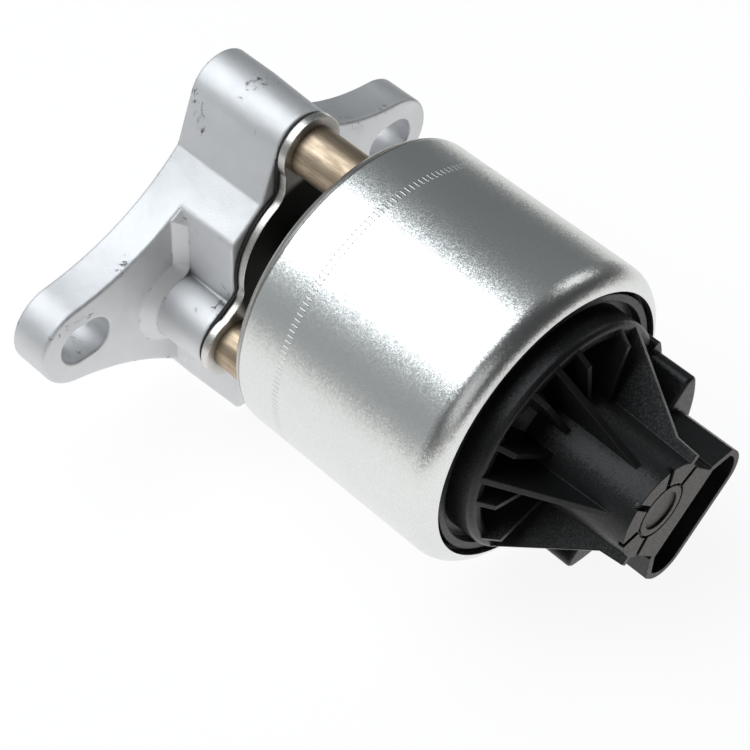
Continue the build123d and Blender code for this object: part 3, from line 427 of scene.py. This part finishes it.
def satin_plating(settings):
    """Sparkling plating with a ring of ticks, a groove line of painted shade round the rear rim and a
    darker brown tone behind it.
    """
    material, tree, surface = new_finish(
        "satin_plating", settings.colour, metallic=1.0, roughness=settings.roughness
    )
    place = object_place(tree)
    axes = axis_parts(tree, place)
    clouds = soft_patches(tree, place, size=0.03, roughness=0.55, low=0.3)
    sparkle = noise(tree, place, settings.sparkle, detail=2.0, roughness=0.7)
    ticks = tick_ring(tree, axes, settings)
    skin = blend_colours(tree, clouds, settings.colour, settings.shade)
    skin = blend_colours(tree, spread(tree, sparkle, 0.4, 0.66, new_high=0.35), skin, PLATING_GRAIN)
    tick_cover = 0.25
    skin = blend_colours(tree, calculate(tree, "MULTIPLY", ticks, tick_cover), skin, TICK_TONE)
    smoothest, roughest = settings.roughness - 0.05, settings.roughness + 0.06
    wire(tree, spread(tree, sparkle, 0.25, 0.75, smoothest, roughest), surface.inputs["Roughness"])

    line_height = settings.rim_line_height
    off_line = calculate(tree, "ABSOLUTE", calculate(tree, "SUBTRACT", axes["Z"], line_height))
    half, line_end = 0.0001, 0.00028
    shaded_rim_groove = spread(tree, off_line, half, line_end, new_low=1.0, new_high=0.0, smooth=True)
    # The rim behind the line is blended to a darker brown tone.
    rim = spread(tree, axes["Z"], line_height - FADE_WIDTH, line_height, new_low=0.8, new_high=0.0)
    skin = blend_colours(tree, rim, skin, RIM_BROWN_TONE)
    # Painted shade: the groove line round the rear rim is painted dark.
    shade_line_cover = 0.7
    skin = blend_colours(tree, calculate(tree, "MULTIPLY", shaded_rim_groove, shade_line_cover), skin, RIM_GROOVE_SHADE)
    wire(tree, skin, surface.inputs["Base Color"])
    normal = relief(tree, [(ticks, 0.00012, 0.6), (shaded_rim_groove, -0.0002, 0.7)])
    normal = tilted_grains(tree, place, settings.sparkle, settings.grain_tilt, normal)
    wire(tree, normal, surface.inputs["Normal"])
    return material


def stamped_steel(settings):
    """Bright stamped steel, with painted shade on top round the bearing and in its crevices."""
    material, tree, surface = new_finish(
        "stamped_steel", settings.plate_colour, metallic=1.0, roughness=0.3
    )
    place = object_place(tree)
    smears = soft_patches(tree, place, size=0.008, detail=4.0, low=0.3)
    grain = noise(tree, place, size=0.0003)
    skin = blend_colours(tree, smears, settings.plate_colour, PLATE_SMEARS)

    axes = axis_parts(tree, place)
    across = calculate(tree, "MULTIPLY", axes["X"], axes["X"])
    along = calculate(tree, "MULTIPLY", axes["Y"], axes["Y"])
    outwards = calculate(tree, "SQRT", calculate(tree, "ADD", across, along))
    # Painted shade: the plate's top near the bearing and its crevices darken to this colour and are rougher
    # there.
    near = spread(tree, outwards, PAINTED_SHADE_RADIUS, PAINTED_SHADE_END_RADIUS, new_low=1.0, new_high=0.0, smooth=True)
    painted_shade = calculate(tree, "MULTIPLY", near, spread(tree, facing_up(tree), low=0.4, high=0.7))
    painted_shade = calculate(tree, "MAXIMUM", painted_shade, painted_crevice_shade(tree, reach=0.004, most=0.7))
    wire(tree, blend_colours(tree, painted_shade, skin, settings.plate_shade_colour), surface.inputs["Base Color"])
    uneven = spread(tree, grain, low=0.3, high=0.7, new_low=0.24, new_high=0.38)
    shaded_top_roughness = 0.35
    dulled = calculate(tree, "ADD", uneven, calculate(tree, "MULTIPLY", painted_shade, shaded_top_roughness))
    wire(tree, dulled, surface.inputs["Roughness"])
    bump_on(tree, surface, [(grain, 0.00004, 0.4)], radius=0.0004)
    return material


def bronze_plating(settings):
    """Bronze-toned plating with streaks along the axis and painted shade at both ends."""
    material, tree, surface = new_finish(
        "bronze_plating", settings.standoff_colour, metallic=1.0, roughness=0.3
    )
    place = object_place(tree)
    streaks = noise(tree, drawn_out(tree, place, scale=(1.0, 1.0, 0.12)), size=0.0006)
    clouds = soft_patches(tree, place, size=0.006)
    skin = blend_colours(tree, clouds, settings.standoff_colour, BRONZE_CLOUDS)
    skin = blend_colours(tree, spread(tree, streaks, 0.35, 0.7, new_high=0.6), skin, BRONZE_STREAKS)
    # Painted shade where the standoffs meet the plate and the base.
    skin = blend_colours(tree, painted_crevice_shade(tree, reach=0.003, most=0.7), skin, BRONZE_FOOT_SHADE)
    wire(tree, skin, surface.inputs["Base Color"])
    uneven = spread(tree, streaks, low=0.3, high=0.7, new_low=0.36, new_high=0.5)
    wire(tree, uneven, surface.inputs["Roughness"])
    bump_on(tree, surface, [(streaks, 0.00004, 0.4)], radius=0.0003)
    return material


def gasket_sheet(settings):
    """Fibrous black sheet, seen at its edge."""
    material, tree, surface = new_finish(
        "gasket_sheet", settings.gasket_colour, metallic=0.0, roughness=0.75, specular=0.35
    )
    fibres = noise(tree, object_place(tree), size=0.0005, detail=4.0, roughness=0.65, distortion=0.6)
    shown = spread(tree, fibres, low=0.4, high=0.75)
    skin = blend_colours(tree, shown, settings.gasket_colour, GASKET_FIBRES)
    wire(tree, skin, surface.inputs["Base Color"])
    bump_on(tree, surface, [(fibres, 0.0001, 0.5)])
    return material


def moulded_plastic(settings):
    """Black moulded skin with a fine grain, with a paler painted sheen on the end faces, which are also
    rougher.
    """
    material, tree, surface = new_finish(
        "moulded_plastic", settings.colour, metallic=0.0, roughness=settings.roughness, specular=0.35
    )
    place = object_place(tree)
    grain = noise(tree, place, settings.grain)
    flow = soft_patches(tree, place, size=0.009, roughness=0.55)
    level = spread(tree, facing_up(tree), low=0.97, high=0.995)
    height = axis_parts(tree, place)["Z"]
    at_end = spread(tree, height, CAP_END_HEIGHT, CAP_END_FULL_HEIGHT)
    end_face = calculate(tree, "MULTIPLY", level, at_end)
    skin = blend_colours(tree, flow, settings.colour, PLASTIC_FLOW)
    # Painted sheen: the end faces are painted paler, with grain, for the light they reflect.
    wear_and_sheen = blend_colours(tree, spread(tree, grain, 0.3, 0.7), settings.end_face_sheen_colour, END_FACE_SHEEN_GRAIN)
    wire(tree, blend_colours(tree, end_face, skin, wear_and_sheen), surface.inputs["Base Color"])
    smoothest, roughest = settings.roughness - 0.07, settings.roughness + 0.1
    uneven = spread(tree, grain, 0.25, 0.75, smoothest, roughest)
    wear_roughness = 0.2
    dulled = calculate(tree, "ADD", uneven, calculate(tree, "MULTIPLY", end_face, wear_roughness))
    wire(tree, dulled, surface.inputs["Roughness"])
    rounded = rounded_normal(tree, radius=0.0003)
    normal = tilted_grains(tree, place, settings.grain, tilt=0.13, normal=rounded)
    wire(tree, normal, surface.inputs["Normal"])
    return material


def soft_rubber():
    """Dull black rubber with a fine grain."""
    material, tree, surface = new_finish(
        "soft_rubber", SEAL_RUBBER, metallic=0.0, roughness=0.6, specular=0.4
    )
    grain = noise(tree, object_place(tree), size=0.0003)
    tint = blend_colours(tree, grain, SEAL_RUBBER_LOW, SEAL_RUBBER_HIGH)
    wire(tree, tint, surface.inputs["Base Color"])
    bump_on(tree, surface, [(grain, 0.00003, 0.4)])
    return material


def turned_metal(name, colour, roughness, pitch):
    """Lathe-turned metal: fine rings along the valve axis."""
    material, tree, surface = new_finish(name, colour, metallic=1.0, roughness=roughness)
    place = object_place(tree)
    rings = noise(tree, drawn_out(tree, place, scale=(0.05, 0.05, 1.0)), pitch, detail=2.0)
    clouds = soft_patches(tree, place, size=0.006)
    darker = tuple(channel * 0.75 for channel in colour)
    wire(tree, blend_colours(tree, clouds, tuple(colour), darker), surface.inputs["Base Color"])
    uneven = spread(tree, rings, 0.3, 0.7, new_low=roughness - 0.08, new_high=roughness + 0.1)
    wire(tree, uneven, surface.inputs["Roughness"])
    bump_on(tree, surface, [(rings, 0.00004, 0.5)], radius=0.0002)
    return material


def enamelled_wire(settings):
    """Layers of thin copper wire wound round the valve axis."""
    material, tree, surface = new_finish(
        "enamelled_wire", settings.copper_colour, metallic=1.0, roughness=0.32
    )
    place = object_place(tree)
    along = calculate(tree, "MULTIPLY", axis_parts(tree, place)["Z"], 2 * math.pi / COIL_WIRE_PITCH)
    shaded = spread(tree, calculate(tree, "SINE", along), low=-1.0, high=1.0)
    tint = blend_colours(tree, shaded, WIRE_GAPS, settings.copper_colour)
    clouds = soft_patches(tree, place, size=0.004, most=0.4)
    tint = blend_colours(tree, clouds, tint, WIRE_CLOUDS)
    wire(tree, tint, surface.inputs["Base Color"])
    bump_on(tree, surface, [(shaded, 0.0002, 0.8)])
    return material


def printed_ceramic(settings):
    """Pale fired board with a fine grain."""
    material, tree, surface = new_finish(
        "printed_ceramic", settings.board_colour, metallic=0.0, roughness=0.55
    )
    grain = noise(tree, object_place(tree), size=0.0004)
    tint = blend_colours(tree, spread(tree, grain, 0.3, 0.7), settings.board_colour, CERAMIC_GRAIN)
    wire(tree, tint, surface.inputs["Base Color"])
    bump_on(tree, surface, [(grain, 0.00003, 0.4)])
    return material


def plain_moulding(name, colour):
    """Plain plastic of one colour with a fine grain."""
    material, tree, surface = new_finish(name, colour, metallic=0.0, roughness=0.45)
    grain = noise(tree, object_place(tree), size=0.0003)
    darker = tuple(channel * 0.8 for channel in colour)
    wire(tree, blend_colours(tree, grain, tuple(colour), darker), surface.inputs["Base Color"])
    bump_on(tree, surface, [(grain, 0.00004, 0.4)], radius=0.0002)
    return material


def pressed_spring(name, node_name, body, finish):
    """A copy of the spring's mesh with doubled points merged, as its own object fixed to the body."""
    shape = bmesh.new()
    shape.from_mesh(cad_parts[node_name].data)
    bmesh.ops.remove_doubles(shape, verts=shape.verts, dist=1e-7)
    mesh = bpy.data.meshes.new(name)
    shape.to_mesh(mesh)
    shape.free()
    mesh.materials.clear()
    mesh.materials.append(finish)
    spring = bpy.data.objects.new(name, mesh)
    bpy.context.scene.collection.objects.link(spring)
    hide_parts(node_name)
    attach(spring, body)
    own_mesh(spring)


class EGR_OT_base_casting(Operator):
    """Give the cast base its blasted skin"""

    bl_idname = "egr.base_casting"
    bl_label = "Base Casting"

    def execute(self, context):
        give(blasted_casting(context.scene.egr_casting), "base_casting")
        return {"FINISHED"}


class EGR_OT_base_hardware(Operator):
    """Finish the plate, gasket, standoffs, bearing and screws between base and can"""

    bl_idname = "egr.base_hardware"
    bl_label = "Base Hardware"

    def execute(self, context):
        settings = context.scene.egr_steel
        give(stamped_steel(settings), "mounting_plate")
        give(gasket_sheet(settings), "base_gasket")
        give(bronze_plating(settings), "standoffs")
        # The bearing's dark colour is painted shade for the gap it sits in
        bronze = turned_metal("sintered_bronze", settings.bearing_shade_colour, roughness=0.5, pitch=0.0005)
        give(bronze, "stem_bearing")
        dark = turned_metal("dark_plating", settings.screw_colour, roughness=0.42, pitch=0.0004)
        give(dark, "housing_screws")
        return {"FINISHED"}


class EGR_OT_solenoid_can(Operator):
    """Give the drawn can its satin plating and its ring of ticks"""

    bl_idname = "egr.solenoid_can"
    bl_label = "Solenoid Can"

    def execute(self, context):
        give(satin_plating(context.scene.egr_can), "solenoid_can")
        return {"FINISHED"}


class EGR_OT_sensor_cap(Operator):
    """Give the sensor cap its moulded skin and its seal a rubber one"""

    bl_idname = "egr.sensor_cap"
    bl_label = "Sensor Cap"

    def execute(self, context):
        give(moulded_plastic(context.scene.egr_cap), "sensor_cap")
        give(soft_rubber(), "cap_seal")
        return {"FINISHED"}


class EGR_OT_magnet_circuit(Operator):
    """Finish the poles, bobbin, winding, sleeve and spring washer in the can"""

    bl_idname = "egr.magnet_circuit"
    bl_label = "Magnet Circuit"

    def execute(self, context):
        settings = context.scene.egr_inner
        pole_steel = turned_metal("pole_steel", settings.steel_colour, roughness=0.38, pitch=0.0004)
        give(pole_steel, "lower_pole_piece", "upper_pole_piece")
        sleeve_steel = turned_metal("drawn_sleeve", SLEEVE_STEEL, roughness=0.25, pitch=0.0008)
        give(sleeve_steel, "armature_sleeve")
        washer_steel = turned_metal("washer_steel", settings.spring_colour, roughness=0.35, pitch=0.0006)
        give(washer_steel, "spring_washer")
        give(plain_moulding("bobbin_plastic", BOBBIN_PLASTIC), "coil_bobbin")
        give(enamelled_wire(settings), "coil_winding")
        return {"FINISHED"}


class EGR_OT_valve_train(Operator):
    """Finish the seat, shield, pintle, armature, clip and return spring"""

    bl_idname = "egr.valve_train"
    bl_label = "Valve Train"

    def execute(self, context):
        settings = context.scene.egr_inner
        give(turned_metal("seat_steel", SEAT_STEEL, roughness=0.3, pitch=0.0003), "valve_seat")
        give(turned_metal("shield_steel", SHIELD_STEEL, roughness=0.35, pitch=0.0007), "stem_shield")
        give(turned_metal("stem_steel", STEM_STEEL, roughness=0.28, pitch=0.0003), "pintle")
        armature_steel = turned_metal(
            "armature_steel", settings.steel_colour, roughness=0.33, pitch=0.0004
        )
        give(armature_steel, "armature")
        tempered = turned_metal("spring_steel", settings.spring_colour, roughness=0.32, pitch=0.0005)
        give(tempered, "stem_clip")
        pressed_spring(
            "coiled_return_spring",
            "return_spring",
            "housing",
            tempered,
        )
        return {"FINISHED"}


class EGR_OT_position_sensor(Operator):
    """Finish the plunger, wiper, spring, resistor board and connector blades"""

    bl_idname = "egr.position_sensor"
    bl_label = "Position Sensor"

    def execute(self, context):
        settings = context.scene.egr_inner
        give(plain_moulding("plunger_plastic", tuple(settings.plunger_colour)), "sensor_plunger")
        contact = turned_metal("tinned_contact", settings.contact_colour, roughness=0.25, pitch=0.0005)
        give(contact, "wiper_contact", "terminal_pins")
        fine_wire = turned_metal("fine_spring_wire", settings.spring_colour, roughness=0.3, pitch=0.0005)
        pressed_spring(
            "coiled_plunger_spring",
            "plunger_spring",
            "housing",
            fine_wire,
        )
        give(printed_ceramic(settings), "resistor_board")
        return {"FINISHED"}


# Stage: the valve lies on its port box and its can, as in the photograph

REST_NORMAL = Vector((0.0, 0.9946, -0.1036)).normalized()
REST_POINT = Vector((0.0, -36.3, 21.4)) * MM
CAMERA_PLACE = Vector((-196.37, 286.27, 227.18)) * MM
CAMERA_AIM = Vector((-9.03, -6.67, 50.45)) * MM
CAMERA_ROLL = math.radians(127.9)
LAMP_AIM = Vector((0.0, 0.0, 50.0)) * MM

# How high on the walls their foot is and their white part ends, for walls one metre off
WALL_FOOT = -0.27
WALL_FOOT_END = -0.07

FLOOR_GLOW = 1.06
FLOOR_GLOW_SHARE = 0.85


def pale_floor(colour):
    """Pale floor that keeps a soft shadow and is clear from below."""
    material, tree = empty_material("pale_floor")
    diffuse = shader_node(tree, "ShaderNodeBsdfDiffuse")
    diffuse.inputs["Color"].default_value = (*colour, 1.0)
    glow = shader_node(tree, "ShaderNodeEmission")
    glow.inputs["Strength"].default_value = FLOOR_GLOW
    shown = shader_node(tree, "ShaderNodeMixShader")
    shown.inputs["Fac"].default_value = FLOOR_GLOW_SHARE
    wire(tree, diffuse.outputs["BSDF"], shown.inputs[1])
    wire(tree, glow.outputs["Emission"], shown.inputs[2])
    clear = shader_node(tree, "ShaderNodeBsdfTransparent")
    side = shader_node(tree, "ShaderNodeMixShader")
    wire(tree, shader_node(tree, "ShaderNodeNewGeometry").outputs["Backfacing"], side.inputs["Fac"])
    wire(tree, shown.outputs["Shader"], side.inputs[1])
    wire(tree, clear.outputs["BSDF"], side.inputs[2])
    output = shader_node(tree, "ShaderNodeOutputMaterial")
    wire(tree, side.outputs["Shader"], output.inputs["Surface"])
    return material


def white_world():
    """Plain white on every side, also for gloss."""
    world = bpy.data.worlds.new("white_world")
    world.use_nodes = True
    tree = world.node_tree
    tree.nodes.clear()
    white = shader_node(tree, "ShaderNodeBackground")
    white.inputs["Color"].default_value = (*WHITE, 1.0)
    output = shader_node(tree, "ShaderNodeOutputWorld")
    wire(tree, white.outputs["Background"], output.inputs["Surface"])
    return world


def grey_walls(settings):
    """Evenly lit studio walls: white at the floor, grey above it, dark behind the camera."""
    material, tree = empty_material("grey_walls")
    direction = shader_node(tree, "ShaderNodeVectorMath", operation="NORMALIZE")
    wire(tree, object_place(tree), direction.inputs[0])
    height = shader_node(tree, "ShaderNodeVectorMath", operation="DOT_PRODUCT")
    height.inputs[1].default_value = REST_NORMAL
    wire(tree, direction.outputs["Vector"], height.inputs[0])
    at_floor = spread(tree, height.outputs["Value"], WALL_FOOT, WALL_FOOT_END, 1.0, 0.0, smooth=True)
    axes = axis_parts(tree, direction.outputs["Vector"])
    across = spread(tree, axes["X"], low=-0.7, high=0.6)
    behind = spread(tree, axes["Z"], low=-0.36, high=0.14, smooth=True)
    wall = blend_colours(tree, across, settings.left_wall, settings.right_wall)
    wall = blend_colours(tree, behind, wall, settings.camera_wall)
    glow = shader_node(tree, "ShaderNodeEmission")
    wire(tree, blend_colours(tree, at_floor, wall, FLOOR_LIGHT), glow.inputs["Color"])
    output = shader_node(tree, "ShaderNodeOutputMaterial")
    wire(tree, glow.outputs["Emission"], output.inputs["Surface"])
    return material


def studio_walls(settings):
    """Dome round the stage down to the floor, which only light and gloss see."""
    shape = bmesh.new()
    bmesh.ops.create_uvsphere(shape, u_segments=48, v_segments=24, radius=settings.wall_distance)
    bmesh.ops.bisect_plane(
        shape,
        geom=shape.verts[:] + shape.edges[:] + shape.faces[:],
        plane_co=REST_NORMAL * (WALL_FOOT * settings.wall_distance),
        plane_no=REST_NORMAL,
        clear_inner=True,
    )
    mesh = bpy.data.meshes.new("studio_walls")
    shape.to_mesh(mesh)
    shape.free()
    mesh.materials.append(grey_walls(settings))
    walls = bpy.data.objects.new("studio_walls", mesh)
    walls.visible_camera = False
    walls.visible_shadow = False
    bpy.context.scene.collection.objects.link(walls)


def soft_lamp(name, place, width, depth, power, colour=WHITE):
    """Rectangular lamp turned to the valve, which the camera doesn't see."""
    lamp = bpy.data.lights.new(name, "AREA")
    lamp.shape = "RECTANGLE"
    lamp.size = width
    lamp.size_y = depth
    lamp.energy = power
    lamp.color = colour
    holder = bpy.data.objects.new(name, lamp)
    holder.location = place
    holder.rotation_mode = "QUATERNION"
    holder.rotation_quaternion = (LAMP_AIM - place).to_track_quat("-Z", "Y")
    holder.visible_camera = False
    bpy.context.scene.collection.objects.link(holder)


def photo_camera(lens):
    """Camera at the photograph's place and angle."""
    camera = bpy.data.cameras.new("photo_camera")
    camera.sensor_width = 36.0
    camera.lens = lens
    camera.clip_start = 0.01
    camera.clip_end = 10.0
    holder = bpy.data.objects.new("photo_camera", camera)
    holder.location = CAMERA_PLACE
    holder.rotation_mode = "QUATERNION"
    aimed = (CAMERA_AIM - CAMERA_PLACE).to_track_quat("-Z", "Y")
    holder.rotation_quaternion = aimed @ Quaternion((0, 0, 1), CAMERA_ROLL)
    bpy.context.scene.collection.objects.link(holder)
    return holder


def shadow_floor(settings):
    """Square floor under the lying valve, which only the camera sees."""
    shape = bmesh.new()
    bmesh.ops.create_grid(shape, x_segments=1, y_segments=1, size=settings.floor_size / 2)
    turn = Vector((0, 0, 1)).rotation_difference(REST_NORMAL).to_matrix()
    bmesh.ops.rotate(shape, verts=shape.verts, cent=(0, 0, 0), matrix=turn)
    bmesh.ops.translate(shape, verts=shape.verts, vec=REST_POINT)
    mesh = bpy.data.meshes.new("floor")
    shape.to_mesh(mesh)
    shape.free()
    mesh.materials.append(pale_floor(settings.floor_colour))
    floor = bpy.data.objects.new("floor", mesh)
    floor.visible_diffuse = False
    floor.visible_glossy = False
    floor.visible_transmission = False
    floor.visible_shadow = False
    bpy.context.scene.collection.objects.link(floor)


class EGR_OT_stage(Operator):
    """Set up the floor, soft studio light and the camera at the photograph's angle"""

    bl_idname = "egr.stage"
    bl_label = "Stage"

    def execute(self, context):
        scene = context.scene
        settings = scene.egr_stage
        shadow_floor(settings)
        scene.world = white_world()
        studio_walls(settings)
        soft_lamp(
            "overhead_lamp",
            Vector((-0.21, 0.6, -0.24)),
            width=0.75,
            depth=0.7,
            power=settings.key_power,
            colour=OVERHEAD_LIGHT,
        )
        soft_lamp(
            "side_lamp", Vector((0.56, 0.42, 0.1)), width=0.3, depth=0.3, power=settings.side_power
        )
        soft_lamp(
            "camera_lamp", Vector((-0.45, 0.35, 0.5)), width=0.5, depth=0.5, power=settings.fill_power
        )
        scene.camera = photo_camera(settings.lens)
        scene.view_settings.view_transform = "Standard"
        return {"FINISHED"}


class EGR_PT_panel(Panel):
    """Lists the valve's finishes and its stage"""

    bl_idname = "EGR_PT_panel"
    bl_label = "EGR Valve"
    bl_space_type = "VIEW_3D"
    bl_region_type = "UI"
    bl_category = "EGR Valve"

    def draw(self, context):
        layout = self.layout
        for operator in OPERATORS:
            layout.operator(operator.bl_idname)
        for name, group in SETTINGS.items():
            box = layout.box()
            box.label(text=name[4:].capitalize())
            for setting in group.__annotations__:
                box.prop(getattr(context.scene, name), setting)


SETTINGS = {
    "egr_casting": EgrCastingFinish,
    "egr_steel": EgrSteelFinish,
    "egr_can": EgrCanFinish,
    "egr_cap": EgrCapFinish,
    "egr_inner": EgrInnerFinish,
    "egr_stage": EgrStageSettings,
}
OPERATORS = (
    EGR_OT_base_casting,
    EGR_OT_base_hardware,
    EGR_OT_solenoid_can,
    EGR_OT_sensor_cap,
    EGR_OT_magnet_circuit,
    EGR_OT_valve_train,
    EGR_OT_position_sensor,
    EGR_OT_stage,
)


def register():
    for name, group in SETTINGS.items():
        bpy.utils.register_class(group)
        setattr(bpy.types.Scene, name, PointerProperty(type=group))
    for operator in OPERATORS:
        bpy.utils.register_class(operator)
    bpy.utils.register_class(EGR_PT_panel)


def unregister():
    bpy.utils.unregister_class(EGR_PT_panel)
    for operator in reversed(OPERATORS):
        bpy.utils.unregister_class(operator)
    for name, group in reversed(SETTINGS.items()):
        delattr(bpy.types.Scene, name)
        bpy.utils.unregister_class(group)


def main():
    register()
    bpy.ops.egr.base_casting()
    bpy.ops.egr.base_hardware()
    bpy.ops.egr.solenoid_can()
    bpy.ops.egr.sensor_cap()
    bpy.ops.egr.magnet_circuit()
    bpy.ops.egr.valve_train()
    bpy.ops.egr.position_sensor()
    bpy.ops.egr.stage()


if __name__ == "__main__":
    main()
